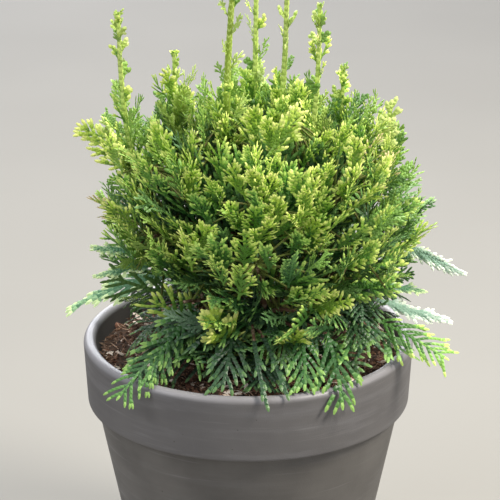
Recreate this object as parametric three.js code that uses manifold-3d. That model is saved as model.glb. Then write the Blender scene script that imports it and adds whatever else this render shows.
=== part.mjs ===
// A young, many-stemmed globe conifer growing in a round clay pot.
//
// Millimetres, +Z up. The origin is the centre of the pot's flat underside, the plant's front
// faces -Y and +X is to its right. Azimuths are degrees about +Z, counted from +X towards +Y.
// The pot, the compost, the trunk, every leader, every bough and every mass of foliage is a
// closed solid of its own. Solids that meet are cut to keep a small gap between them.

import * as THREE from "three";
import Module from "manifold-3d";
import { mergeVertices } from "three/addons/utils/BufferGeometryUtils.js";

// Driving dimensions

const POT = {
  height: 203,
  lipRadius: 115,
  lipThickness: 8.8,
  bandHeight: 46.8,
  bandFootRadius: 112.8,
  bandUnderside: 2.5, // how far the band's lower edge is rounded up
  shoulderRadius: 106.6,
  footRadius: 76,
  footEdge: 2,
  floor: 12,
  floorRadius: 67,
  segments: 36,
  lipSteps: 4,
};
const DRAIN = { count: 3, radius: 5.5, ring: 38, azimuth: 90, sides: 10 };

const COMPOST = {
  edgeLevel: 191,
  crownLevel: 195.4,
  flatRadius: 26, // level ground round the stems
  unevenness: 2,
  segments: POT.segments / 2, // every second of the pot's, so that it nests in the wall
  rings: 4,
};

const GAP = 0.35; // between hard solids that meet
const LOOSE_GAP = 2.8; // between masses of foliage, and between a mass and a stem
const WELD = 1e-3; // vertices closer than this are one
const TRIM = 0.15; // detail finer than this is tidied away after a limb is cut
const LOOSE_TRIM = 2; // and after a mass is cut
const CUTTER_REACH = 10; // how far a cutting shape runs past the face it cuts

// The crown is a dome that stands a little to the right of the pot's axis.
const CROWN = { x: 9, y: 0 };

const TRUNK = {
  foot: { x: -3, y: 3, z: 195.8 },
  tip: { x: -8, y: -16, z: 478 },
  lean: { x: -9, y: -3 }, // how far the middle stands off the line from foot to tip
  footRadius: 6.4,
  tipRadius: 1.5,
  flare: 4.6, // extra radius of the root flare at the ground
  flareHeight: 13,
  knees: 6, // points that its curve runs through, past the foot
  sides: 8,
  steps: 12,
};

// Leaders leave the trunk low in the crown and turn up to stand nearly straight.
const LEADERS = [
  { name: "leader_back", azimuth: 82, reach: 40, height: 462, fork: 232 },
  { name: "leader_right_inner", azimuth: 22, reach: 28, height: 468, fork: 246 },
  { name: "leader_right_middle", azimuth: 5, reach: 48, height: 435, fork: 226 },
  { name: "leader_right_outer", azimuth: 22, reach: 70, height: 387, fork: 216 },
  { name: "leader_left_outer", azimuth: 176, reach: 87, height: 428, fork: 214 },
  { name: "leader_left_back", azimuth: 146, reach: 61, height: 394, fork: 222 },
];
const LEADER = { footRadius: 3.6, tipRadius: 1.3, sides: 5, steps: 7, outFirst: 0.8, upright: 0.5 };

// Boughs run from the trunk to the inner ends of the lowest masses.
const BOUGH = { footRadius: 2.9, tipRadius: 1.5, sides: 5, steps: 4, rise: 15, arch: 1, into: 3 };

// Foliage in tiers: each mass grows from (rootReach, rootHeight) out to (reach, height). Where
// `shorter` is given, a mass stops that much short, and the compost shows beyond it.
const TIERS = [
  {
    name: "skirt", count: 8, azimuth: 5, rootReach: 42, rootHeight: 230, reach: 112, height: 208,
    width: 74, depth: 19, arch: 10, spread: 3, shorter: [0, 0, 0, 0, 26, 14, 0, 0],
  },
  {
    name: "lower", count: 7, azimuth: 30, rootReach: 44, rootHeight: 254, reach: 113, height: 264,
    width: 84, depth: 50, arch: 2, spread: 4,
  },
  {
    name: "middle", count: 7, azimuth: 5, rootReach: 42, rootHeight: 290, reach: 117, height: 312,
    width: 92, depth: 56, arch: 0, spread: 4,
  },
  {
    name: "upper", count: 6, azimuth: 22, rootReach: 38, rootHeight: 322, reach: 97, height: 356,
    width: 90, depth: 58, arch: -2, spread: 5,
  },
  {
    name: "crest", count: 3, azimuth: 75, rootReach: 17, rootHeight: 342, reach: 40, height: 388,
    width: 78, depth: 58, arch: 0, spread: 5,
  },
];

// Single long sprays that stand out past the dome, measured from the pot's axis.
const SPRAYS = [
  { name: "spray_left_long", azimuth: 164, rootReach: 66, rootHeight: 233, reach: 134, height: 213 },
  { name: "spray_left_high", azimuth: 172, rootReach: 78, rootHeight: 322, reach: 116, height: 351 },
  { name: "spray_right_crown", azimuth: -5, rootReach: 90, rootHeight: 338, reach: 99, height: 375 },
  { name: "spray_right_high", azimuth: -10, rootReach: 90, rootHeight: 272, reach: 149, height: 254 },
  { name: "spray_right_low", azimuth: -26, rootReach: 88, rootHeight: 227, reach: 150, height: 213 },
  { name: "spray_front_left", azimuth: 230, rootReach: 72, rootHeight: 224, reach: 132, height: 197 },
];
const SPRAY = { width: 26, depth: 10, arch: 5 };

// Side shoots gathered round the bare upper parts of the tallest stems.
const TUFT = { width: 20, height: 62, below: 38, lean: 0.5 };
const TUFTED = [
  "trunk",
  "leader_back",
  "leader_right_inner",
  "leader_right_middle",
  "leader_left_outer",
  "leader_left_back",
];

const MASS = {
  detail: 2, // subdivisions of the starting ball
  slimDetail: 1, // and of a slim spray's or tuft's
  knobs: 8, // swellings on each mass
  knobHeight: 0.42, // as a share of the mass's half width
  knobSharpness: 9,
  knobForward: 0.4, // knobs gather towards the outer end
  knobScatter: 0.6,
  rootShare: 0.32, // width at the inner end as a share of the full width
  rootSpread: 3, // how far the inner ends differ in height
  sizeSpread: 0.12, // how far widths and depths differ, as a share
};

const CLAY = { color: 0x66645f, roughness: 0.85, metalness: 0 };
const SOIL = { color: 0x3a2620, roughness: 1, metalness: 0 };
const BARK = { color: 0x6b4a34, roughness: 0.9, metalness: 0 };
const GREEN_STEM = { color: 0x8f9a4c, roughness: 0.8, metalness: 0 };
const FOLIAGE = { color: 0x5f8f36, roughness: 0.7, metalness: 0 };
const YOUNG_FOLIAGE = { color: 0xb4c84c, roughness: 0.7, metalness: 0 };
const SHADED_FOLIAGE = { color: 0x44704c, roughness: 0.7, metalness: 0 };

const SEED = 71;

const wasm = await Module();
wasm.setup();

// Numbers and places

function seededRandom(seed) {
  let state = seed >>> 0;
  return () => {
    state = (state + 0x6d2b79f5) >>> 0;
    let mixed = Math.imul(state ^ (state >>> 15), 1 | state);
    mixed = (mixed + Math.imul(mixed ^ (mixed >>> 7), 61 | mixed)) ^ mixed;
    return ((mixed ^ (mixed >>> 14)) >>> 0) / 2 ** 32;
  };
}

function around(random, spread) {
  return (2 * random() - 1) * spread;
}

function polar(azimuth, reach, height, centre = { x: 0, y: 0 }) {
  const angle = THREE.MathUtils.degToRad(azimuth);
  return new THREE.Vector3(
    centre.x + reach * Math.cos(angle),
    centre.y + reach * Math.sin(angle),
    height,
  );
}

// Solids

function solidOf(geometry) {
  const bare = geometry.clone();
  bare.deleteAttribute("normal");
  bare.deleteAttribute("uv");
  const merged = mergeVertices(bare, WELD);
  return new wasm.Manifold(
    new wasm.Mesh({
      numProp: 3,
      vertProperties: merged.attributes.position.array,
      triVerts: new Uint32Array(merged.index.array),
    }),
  );
}

function geometryOf(solid) {
  const mesh = solid.getMesh();
  const geometry = new THREE.BufferGeometry();
  geometry.setAttribute("position", new THREE.BufferAttribute(mesh.vertProperties, 3));
  geometry.setIndex(new THREE.BufferAttribute(mesh.triVerts, 1));
  geometry.computeVertexNormals();
  return geometry;
}

function largestBody(solid) {
  return solid.decompose().reduce((best, body) => (body.volume() > best.volume() ? body : best));
}

function cutBy(solid, cutters, trim) {
  const cut = cutters.reduce((left, cutter) => left.subtract(cutter), solid);
  return largestBody(largestBody(cut).simplify(trim));
}

// Pushes every vertex of a closed shape outwards by a distance.
function grown(geometry, distance) {
  const bare = geometry.clone();
  bare.deleteAttribute("normal");
  bare.deleteAttribute("uv");
  const merged = mergeVertices(bare, WELD);
  merged.computeVertexNormals();
  const position = merged.attributes.position;
  const normal = merged.attributes.normal;
  for (let i = 0; i < position.count; i++) {
    position.setXYZ(
      i,
      position.getX(i) + distance * normal.getX(i),
      position.getY(i) + distance * normal.getY(i),
      position.getZ(i) + distance * normal.getZ(i),
    );
  }
  merged.deleteAttribute("normal");
  return merged;
}

// A closed, tapering limb along a curve. radiusAt takes the share of the way from foot to tip.
function limb(curve, radiusAt, sides, steps) {
  const geometry = new THREE.CylinderGeometry(1, 1, 1, sides, steps);
  const frames = curve.computeFrenetFrames(steps, false);
  const position = geometry.attributes.position;
  for (let i = 0; i < position.count; i++) {
    const share = position.getY(i) + 0.5;
    const step = Math.round(share * steps);
    const radius = radiusAt(share);
    const point = curve.getPointAt(share);
    point.addScaledVector(frames.normals[step], position.getZ(i) * radius);
    point.addScaledVector(frames.binormals[step], position.getX(i) * radius);
    position.setXYZ(i, point.x, point.y, point.z);
  }
  return geometry;
}

// An uneven closed mass of foliage that swells from its root towards its tip. `knobs` are
// unit directions in which the mass stands out further than the plain swelling.
function foliage({ root, tip, width, depth, arch, detail }, random) {
  const geometry = new THREE.IcosahedronGeometry(1, detail);
  const along = tip.clone().sub(root);
  const side = new THREE.Vector3(0, 0, 1).cross(along).normalize();
  const over = along.clone().cross(side).normalize();
  const middle = root.clone().add(tip).multiplyScalar(0.5).addScaledVector(over, arch);
  const spine = new THREE.QuadraticBezierCurve3(root, middle, tip);
  const knobs = Array.from({ length: MASS.knobs }, () => {
    const forward = MASS.knobForward + around(random, MASS.knobScatter);
    return new THREE.Vector3(forward, around(random, 1), around(random, 1)).normalize();
  });
  const position = geometry.attributes.position;
  const ball = new THREE.Vector3();
  for (let i = 0; i < position.count; i++) {
    ball.fromBufferAttribute(position, i).normalize();
    const swelling = knobs.reduce(
      (sum, knob) => sum + Math.exp(MASS.knobSharpness * (ball.dot(knob) - 1)),
      0,
    );
    const share = (ball.x + 1) / 2;
    const fullness = MASS.rootShare + (1 - MASS.rootShare) * Math.sqrt(share);
    const size = fullness * (1 - MASS.knobHeight / 2 + MASS.knobHeight * swelling);
    const point = spine.getPoint(share);
    point.addScaledVector(side, (ball.y * size * width) / 2);
    point.addScaledVector(over, (ball.z * size * depth) / 2);
    position.setXYZ(i, point.x, point.y, point.z);
  }
  return geometry;
}

// The pot and the compost

function lipArc(outerRadius, innerRadius, level) {
  const middle = (outerRadius + innerRadius) / 2;
  const half = (outerRadius - innerRadius) / 2;
  return Array.from({ length: POT.lipSteps + 1 }, (_, i) => {
    const angle = (Math.PI * i) / POT.lipSteps;
    return new THREE.Vector2(middle + half * Math.cos(angle), level + half * Math.sin(angle));
  });
}

const lipInnerRadius = POT.lipRadius - POT.lipThickness;
const lipLevel = POT.height - POT.lipThickness / 2;
const bandFoot = POT.height - POT.bandHeight;

function potWallRadius(height) {
  const share = (height - POT.floor) / (lipLevel - POT.floor);
  return POT.floorRadius + (lipInnerRadius - POT.floorRadius) * share;
}

function potShape() {
  const profile = [
    new THREE.Vector2(0, 0),
    new THREE.Vector2(POT.footRadius - POT.footEdge, 0),
    new THREE.Vector2(POT.footRadius, POT.footEdge),
    new THREE.Vector2(POT.shoulderRadius, bandFoot),
    new THREE.Vector2(POT.bandFootRadius - POT.bandUnderside, bandFoot),
    new THREE.Vector2(POT.bandFootRadius, bandFoot + POT.bandUnderside),
    ...lipArc(POT.lipRadius, lipInnerRadius, lipLevel),
    new THREE.Vector2(POT.floorRadius, POT.floor),
    new THREE.Vector2(0, POT.floor),
  ];
  return new THREE.LatheGeometry(profile, POT.segments).rotateX(Math.PI / 2);
}

function drainHole(azimuth) {
  const length = POT.floor + 2 * CUTTER_REACH;
  const hole = new THREE.CylinderGeometry(DRAIN.radius, DRAIN.radius, length, DRAIN.sides);
  hole.rotateX(Math.PI / 2);
  const place = polar(azimuth, DRAIN.ring, POT.floor / 2);
  return hole.translate(place.x, place.y, place.z);
}

function compostShape(random) {
  const base = POT.floor + GAP;
  const rings = Array.from({ length: COMPOST.rings + 1 }, (_, i) => {
    const share = i / COMPOST.rings;
    const edge = potWallRadius(COMPOST.edgeLevel) - GAP;
    const radius = edge + (COMPOST.flatRadius - edge) * share;
    const level = COMPOST.edgeLevel + (COMPOST.crownLevel - COMPOST.edgeLevel) * share;
    return new THREE.Vector2(radius, level);
  });
  const profile = [
    new THREE.Vector2(0, base),
    new THREE.Vector2(potWallRadius(base) - GAP, base),
    ...rings,
    new THREE.Vector2(0, COMPOST.crownLevel),
  ];
  const shape = new THREE.LatheGeometry(profile, COMPOST.segments).rotateX(Math.PI / 2);
  return unevenTop(shape, random);
}

// Raises and sinks the compost's surface between the level middle and the pot's wall.
function unevenTop(shape, random) {
  const bare = shape.clone();
  bare.deleteAttribute("normal");
  bare.deleteAttribute("uv");
  const merged = mergeVertices(bare, WELD);
  const position = merged.attributes.position;
  const inner = COMPOST.flatRadius + 1;
  const outer = potWallRadius(COMPOST.edgeLevel) - GAP - 1;
  for (let i = 0; i < position.count; i++) {
    const reach = Math.hypot(position.getX(i), position.getY(i));
    const lift = around(random, COMPOST.unevenness);
    if (position.getZ(i) >= COMPOST.edgeLevel && reach > inner && reach < outer) {
      position.setZ(i, position.getZ(i) + lift - COMPOST.unevenness / 2);
    }
  }
  return merged;
}

// Trunk, leaders and boughs

const trunkFoot = new THREE.Vector3(TRUNK.foot.x, TRUNK.foot.y, TRUNK.foot.z);
const trunkTip = new THREE.Vector3(TRUNK.tip.x, TRUNK.tip.y, TRUNK.tip.z);
const trunkLength = trunkTip.z - trunkFoot.z;

function onTrunk(height) {
  const share = (height - trunkFoot.z) / trunkLength;
  const bow = Math.sin(Math.PI * share);
  return new THREE.Vector3(
    THREE.MathUtils.lerp(trunkFoot.x, trunkTip.x, share) + TRUNK.lean.x * bow,
    THREE.MathUtils.lerp(trunkFoot.y, trunkTip.y, share) + TRUNK.lean.y * bow,
    height,
  );
}

function trunkCurve() {
  const points = Array.from({ length: TRUNK.knees + 1 }, (_, i) =>
    onTrunk(trunkFoot.z + (trunkLength * i) / TRUNK.knees),
  );
  return new THREE.CatmullRomCurve3(points);
}

function trunkRadius(share) {
  const flare = TRUNK.flare * Math.exp((-share * trunkLength) / TRUNK.flareHeight);
  return TRUNK.footRadius + (TRUNK.tipRadius - TRUNK.footRadius) * Math.sqrt(share) + flare;
}

// Sets the foot of the trunk flat on the ground, level all round.
function flatFooted(geometry) {
  const position = geometry.attributes.position;
  const ringHeight = trunkLength / TRUNK.steps / 2;
  for (let i = 0; i < position.count; i++) {
    if (position.getZ(i) < trunkFoot.z + ringHeight) position.setZ(i, trunkFoot.z);
  }
  return geometry;
}

function taper(size) {
  return (share) => size.footRadius + (size.tipRadius - size.footRadius) * share;
}

function leaderShape({ azimuth, reach, height, fork }) {
  const foot = onTrunk(fork);
  const tip = polar(azimuth, reach, height);
  const outward = tip.clone().sub(foot).setZ(0);
  const climb = tip.z - foot.z;
  const knee = foot.clone().addScaledVector(outward, LEADER.outFirst);
  const shoulder = tip.clone();
  knee.z += climb * (1 - LEADER.outFirst);
  shoulder.z -= climb * LEADER.upright;
  const curve = new THREE.CubicBezierCurve3(foot, knee, shoulder, tip);
  return limb(curve, taper(LEADER), LEADER.sides, LEADER.steps);
}

function boughShape(root) {
  const end = root.clone();
  const foot = onTrunk(root.z - BOUGH.rise);
  const knee = foot.clone().lerp(end, 0.5);
  knee.z = end.z + BOUGH.arch;
  const curve = new THREE.QuadraticBezierCurve3(foot, knee, end);
  return limb(curve, taper(BOUGH), BOUGH.sides, BOUGH.steps);
}

// Where every mass of a tier grows, with each one's own seeded difference from the rule.
function tierMasses(tier, random) {
  return Array.from({ length: tier.count }, (_, i) => {
    const azimuth = tier.azimuth + (360 * i) / tier.count + around(random, tier.spread);
    const shorter = tier.shorter ? tier.shorter[i] : 0;
    const reach = tier.reach - shorter + around(random, tier.spread);
    const height = tier.height + around(random, tier.spread);
    const rootHeight = tier.rootHeight + around(random, MASS.rootSpread);
    return {
      name: `foliage_${tier.name}_${String(i + 1).padStart(2, "0")}`,
      root: polar(azimuth, tier.rootReach, rootHeight, CROWN),
      tip: polar(azimuth, reach, height, CROWN),
      width: tier.width * (1 + around(random, MASS.sizeSpread)),
      depth: tier.depth * (1 + around(random, MASS.sizeSpread)),
      arch: tier.arch,
      detail: MASS.detail,
      tier: tier.name,
    };
  });
}

function sprayMass(spray) {
  return {
    name: `foliage_${spray.name}`,
    root: polar(spray.azimuth, spray.rootReach, spray.rootHeight),
    tip: polar(spray.azimuth, spray.reach, spray.height),
    ...SPRAY,
    detail: MASS.slimDetail,
    tier: "spray",
  };
}

// A tuft wraps the top of a stem, so its own axis is the stem's last stretch.
function tuftMass(name, tip) {
  return {
    name: `foliage_tuft_${name.replace("leader_", "")}`,
    root: tip.clone().add(new THREE.Vector3(TUFT.lean, 0, -TUFT.below - TUFT.height / 2)),
    tip: tip.clone().add(new THREE.Vector3(0, 0, -TUFT.below + TUFT.height / 2)),
    width: TUFT.width,
    depth: TUFT.width,
    arch: 0,
    detail: MASS.slimDetail,
    tier: "tuft",
  };
}

// The plant, put together from the pot upwards

const group = new THREE.Group();
const random = seededRandom(SEED);

function place(name, geometry, finish) {
  const mesh = new THREE.Mesh(geometry, new THREE.MeshStandardMaterial(finish));
  mesh.name = name;
  group.add(mesh);
}

const drains = Array.from({ length: DRAIN.count }, (_, i) =>
  solidOf(drainHole(DRAIN.azimuth + (360 * i) / DRAIN.count)),
);
place("pot", geometryOf(cutBy(solidOf(potShape()), drains, TRIM)), CLAY);

const compost = compostShape(random);
place("compost", compost, SOIL);

const trunk = flatFooted(limb(trunkCurve(), trunkRadius, TRUNK.sides, TRUNK.steps));
place("trunk", trunk, BARK);

// Every shape made so far, which the shapes made after it are cut to clear.
const hardShapes = [potShape(), compost, trunk];
const stemTips = new Map([["trunk", trunkTip]]);

function placeLimb(name, shape, finish) {
  const cutters = hardShapes.map((other) => solidOf(grown(other, GAP)));
  place(name, geometryOf(cutBy(solidOf(shape), cutters, TRIM)), finish);
  hardShapes.push(shape);
}

for (const leader of LEADERS) {
  placeLimb(leader.name, leaderShape(leader), GREEN_STEM);
  stemTips.set(leader.name, polar(leader.azimuth, leader.reach, leader.height));
}

const masses = [
  ...TIERS.flatMap((tier) => tierMasses(tier, random)),
  ...SPRAYS.map(sprayMass),
  ...TUFTED.map((name) => tuftMass(name, stemTips.get(name))),
];

masses
  .filter((mass) => mass.tier === "skirt")
  .forEach((mass, i) => {
    const inward = mass.root.clone().sub(mass.tip).normalize();
    const end = mass.root.clone().addScaledVector(inward, BOUGH.into);
    placeLimb(`bough_${i + 1}`, boughShape(end), BARK);
  });

const MASS_FINISH = {
  skirt: SHADED_FOLIAGE,
  tuft: YOUNG_FOLIAGE,
  upper: YOUNG_FOLIAGE,
  crest: YOUNG_FOLIAGE,
};

// A mass is cut with a loose gap and tidied. The tidy moves its faces a little, so it is then
// cut once more, by the finished solids and with the hard solids' small gap.
const looseCutters = hardShapes.map((shape) => solidOf(grown(shape, LOOSE_GAP)));
const closeCutters = hardShapes.map((shape) => solidOf(grown(shape, GAP)));
for (const mass of masses) {
  const shape = foliage(mass, random);
  const loose = cutBy(solidOf(shape), looseCutters, LOOSE_TRIM);
  const finished = geometryOf(cutBy(loose, closeCutters, WELD));
  place(mass.name, finished, MASS_FINISH[mass.tier] ?? FOLIAGE);
  looseCutters.push(solidOf(grown(shape, LOOSE_GAP)));
  closeCutters.push(solidOf(grown(finished, GAP)));
}

export default group;
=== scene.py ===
"""Looks for a potted globe conifer: clay pot, compost, barked limbs, twigs and sprays of scale leaves.

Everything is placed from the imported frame. Lengths are in millimetres until a mesh is written,
and MM turns them into metres.
"""

import math

import bpy
import numpy as np
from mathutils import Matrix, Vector, noise


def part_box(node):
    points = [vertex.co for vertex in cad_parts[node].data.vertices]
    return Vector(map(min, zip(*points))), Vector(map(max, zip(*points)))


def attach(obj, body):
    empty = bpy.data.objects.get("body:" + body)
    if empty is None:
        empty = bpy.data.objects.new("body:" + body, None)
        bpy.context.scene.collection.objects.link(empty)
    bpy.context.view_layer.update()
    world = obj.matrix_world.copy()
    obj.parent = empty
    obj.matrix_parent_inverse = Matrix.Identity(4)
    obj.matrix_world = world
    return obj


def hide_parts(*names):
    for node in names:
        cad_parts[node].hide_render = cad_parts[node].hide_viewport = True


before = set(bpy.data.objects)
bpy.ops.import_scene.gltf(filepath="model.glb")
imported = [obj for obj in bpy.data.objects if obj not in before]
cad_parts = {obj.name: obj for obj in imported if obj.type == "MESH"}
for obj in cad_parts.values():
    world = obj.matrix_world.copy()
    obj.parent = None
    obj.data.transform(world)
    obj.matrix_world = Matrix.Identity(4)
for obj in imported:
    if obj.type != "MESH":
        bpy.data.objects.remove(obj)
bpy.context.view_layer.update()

MM = 0.001
SEED = 20
RIM_RADIUS, RIM_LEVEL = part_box("pot")[1].x / MM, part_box("pot")[1].z / MM
GOLDEN_ANGLE = math.radians(137.5)
BODY = "root"
UPWARD = np.array([0, 0, 1.0])

# ---------------------------------------------------------------- sizes, in millimetres

CAMERA = dict(distance=1600.0, pitch=20.4, aim=(1.2, 0.0, 264.4), lens=166.9, sensor=36.0)
FLOOR = dict(reach=6000.0, level=-0.2, grain=333.3)

# Each lamp has its place and width in metres, its power in watts and its colour.
LAMPS = {
    "top": ((0.1, 0.5, 2.0), 1.0, 56, "#fffdf6"),
    "key": ((1.2, -0.5, 1.5), 0.6, 42, "#fff8ea"),
    "fill": ((-1.6, -1.0, 1.7), 1.4, 20, "#ffffff"),
    "back": ((-0.4, 2.6, 1.1), 2.0, 40, "#f6f8ff"),
}
LAMP_AIM = (0, 0, 0.28)
SKY = dict(colour="#e9edf3", strength=0.62)

# The last size is how far down from its top the lip is lightened, partly by a deposit of lime and partly by a
# painted sheen of the sky.
POT = dict(
    lip_thickness=8.8, band_height=46.8, band_foot_radius=112.8, band_edge=2.2, shoulder_radius=106.6,
    fillet=1.6, foot_radius=76.0, foot_edge=2.0, floor=12.0, floor_radius=67.0, floor_corner=3.0,
    segments=224, drain_radius=5.5, drain_ring=38.0, drain_count=3, drain_sides=24, bloom_and_sheen=4.2,
)
COMPOST = dict(rings=74, segments=260, roughness=1.5, grain=11.0, settled=1.0, depth=9.0)

# Where a spray meets the pot it lies on the compost, `below_lip` under the lip, and rises to
# `over_lip` above the lip on its last `ramp` before the wall. Sprays pile up to `pile` on it.
REST = dict(below_lip=9.0, over_lip=1.5, ramp=18.0, pile=1.8, settling=7.0)

# A scale leaf's thickness as a share of its width.
SCALE_THICKNESS = 0.42

# How a flat spray branches. Lengths are in mm and angles in degrees from the parent's axis.
# `first` is where the side branches start and `side` the longest of them, as shares of the
# spray, `club` widens a branchlet to its end, `sag` is how fast a branch bends out of the
# spray's plane, and `lift` is how much its branches stand out of it.
KINDS = {
    # A dense upright fan, and the longer plume, which is a little looser.
    "fan": dict(
        length=36.0, width=2.0, pitch=2.4, node_gap=4.4, first=0.1, angle=31.0, side=0.5, fullness=0.42,
        curl=-12.0, sub_gap=5.2, sub_length=7.5, sub_angle=28.0, sub_first=4.8,
        club=0.1, sag=0.0, lift=0.5,
    ),
    "plume": dict(
        length=50.0, width=2.3, pitch=2.7, node_gap=5.0, first=0.12, angle=33.0, side=0.42, fullness=0.4,
        curl=-12.0, sub_gap=7.5, sub_length=8.5, sub_angle=26.0, sub_first=7.0,
        club=0.0, sag=-0.004, lift=0.34,
    ),
    # Long drooping fingers in one row, and a shorter hand of them.
    "comb": dict(
        length=72.0, width=2.7, pitch=3.5, node_gap=7.6, first=0.1, angle=43.0, side=0.42, fullness=0.25,
        curl=-16.0, sub_gap=24.0, sub_length=8.0, sub_angle=24.0, sub_first=20.0,
        club=-0.1, sag=-0.02, lift=0.12,
    ),
    "hand": dict(
        length=50.0, width=2.75, pitch=3.6, node_gap=8.4, first=0.12, angle=39.0, side=0.62, fullness=0.42,
        curl=-15.0, sub_gap=40.0, sub_length=9.0, sub_angle=24.0, sub_first=18.0,
        club=-0.1, sag=-0.012, lift=0.12,
    ),
    # A narrow feather and an almost bare strand.
    "feather": dict(
        length=62.0, width=2.6, pitch=3.0, node_gap=6.0, first=0.12, angle=21.0, side=0.3, fullness=0.4,
        curl=-9.0, sub_gap=9.0, sub_length=7.0, sub_angle=24.0, sub_first=9.0,
        club=0.0, sag=-0.004, lift=0.12,
    ),
    "strand": dict(
        length=48.0, width=2.9, pitch=3.2, node_gap=15.0, first=0.3, angle=26.0, side=0.2, fullness=0.5,
        curl=-12.0, sub_gap=90.0, sub_length=4.0, sub_angle=30.0, sub_first=90.0,
        club=-0.15, sag=-0.004, lift=0.1,
    ),
    # Stubby shoots up a leader, and pointed spires round its foot.
    "shoot": dict(
        length=12.0, width=2.9, pitch=2.2, node_gap=4.2, first=0.3, angle=38.0, side=0.5, fullness=0.35,
        curl=-10.0, sub_gap=30.0, sub_length=4.0, sub_angle=40.0, sub_first=20.0,
        club=0.3, sag=0.0, lift=0.5,
    ),
    "spire": dict(
        length=34.0, width=2.6, pitch=2.4, node_gap=6.4, first=0.25, angle=33.0, side=0.36, fullness=0.3,
        curl=-16.0, sub_gap=5.0, sub_length=5.0, sub_angle=34.0, sub_first=5.0,
        club=0.25, sag=0.0, lift=0.35,
    ),
    # The coarse sprays inside the crown, dark with painted shade.
    "filler": dict(
        length=46.0, width=3.4, pitch=4.6, node_gap=8.5, first=0.1, angle=36.0, side=0.5, fullness=0.5,
        curl=-12.0, sub_gap=90.0, sub_length=4.0, sub_angle=40.0, sub_first=80.0,
        club=0.0, sag=0.0, lift=0.4,
    ),
}

# What every branch varies by: ranges to draw from, the chance that one is missing, and limits
# in mm. The names that start with `sub` are for the branchlets on side branches.
BRANCHING = dict(
    axis_curl=(-14, 14), reach=(0.75, 1.15), angle=(0.82, 1.16), curl=(0.4, 1.6), gap=(0.42, 0.58),
    missing=0.05, shortest=3.5, bare_tip=2.0,
    sub_first=(0.8, 1.2), sub_length=(0.7, 1.2), sub_gap=(0.85, 1.15), sub_shortest=2.0, sub_bare_tip=2.5,
)
PATTERNS_PER_KIND = 14

# The tiers of the crown. `out` and `up` mix the way the sprays point and `sway` turns them
# sideways, `gap` is the distance between the tips of neighbouring sprays, and `bend` is how far
# a spray curves, in degrees. A surface that faces lower than `lowest` bears no spray, and
# `filler` is the share of sprays with a darker one behind them.
TIERS = {
    "skirt": dict(
        kinds=dict(comb=0.35, hand=0.55, strand=0.1), out=1.0, up=-0.08, sway=0.6, gap=15.5,
        bend=-60.0, size=(0.72, 1.05), lowest=-0.9, filler=0.25, slot="foliage_shaded", pieces=2,
    ),
    "lower": dict(
        kinds=dict(plume=0.9, hand=0.1), out=1.0, up=0.45, sway=0.25, gap=16.5, bend=-10.0,
        size=(0.7, 1.1), lowest=-0.75, filler=0.9, slot="foliage", pieces=2,
    ),
    "middle": dict(
        kinds=dict(plume=0.35, fan=0.65), out=0.75, up=0.8, sway=0.25, gap=13.2, bend=10.0,
        size=(0.72, 1.1), lowest=-0.45, filler=0.9, slot="foliage", pieces=2,
    ),
    "upper": dict(
        kinds=dict(fan=1.0), out=0.4, up=1.0, sway=0.22, gap=12.6, bend=12.0,
        size=(0.7, 1.08), lowest=-0.3, filler=0.9, slot="foliage_young", pieces=2,
    ),
    "crest": dict(
        kinds=dict(fan=1.0), out=0.22, up=1.0, sway=0.22, gap=12.2, bend=8.0,
        size=(0.7, 1.08), lowest=-0.2, filler=0.9, slot="foliage_young", pieces=1,
    ),
}

# In every tier: `leading` is the share of sprays that stand out of the surface, the others keep
# inside it, and `stray` and `flat_stray` are how far their direction and flat side vary. The
# flat side looks out where the sprays rise, as `levelled` has it, and up where they are `lying`.
GROWTH = dict(
    leading=0.2, lead_out=(2.0, 7.0), lead_size=1.1, keep_in=(-7.0, 0.0), stray=0.16, flat_stray=0.36,
    bend=(0.5, 1.4), cup=(0.001, 0.007), filler_depth=(12.0, 44.0), places_tried=500, open_side=0.15,
    levelled=(1, 1, 0.15), lying=(0.9, 0.35),
)
# The height that the skirt's sprays point away from.
SKIRT_HEART = 195.0

# Single sprays that stand out of the crown, each in its own solid: kind, palette, bend, its
# length as a share of the solid's, and the way its flat side looks.
LONE_SPRAYS = {
    "left_long": ("feather", "pale", -24.0, 1.3, (0, -0.6, 0.8)),
    "left_high": ("plume", "sunlit", 16.0, 1.3, (0, -1, 0.25)),
    "right_crown": ("spire", "rind", 8.0, 1.2, (0.2, -1, 0.1)),
    # This spray's whitish palette is a painted reflection of the sky on it.
    "right_high": ("feather", "glaucous", -10.0, 1.4, (0, -0.9, 0.5)),
    "right_low": ("comb", "meadow", -16.0, 1.3, (0, -0.6, 0.8)),
    "front_left": ("comb", "fern", -34.0, 1.4, (-0.3, -0.5, 0.8)),
}

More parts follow.
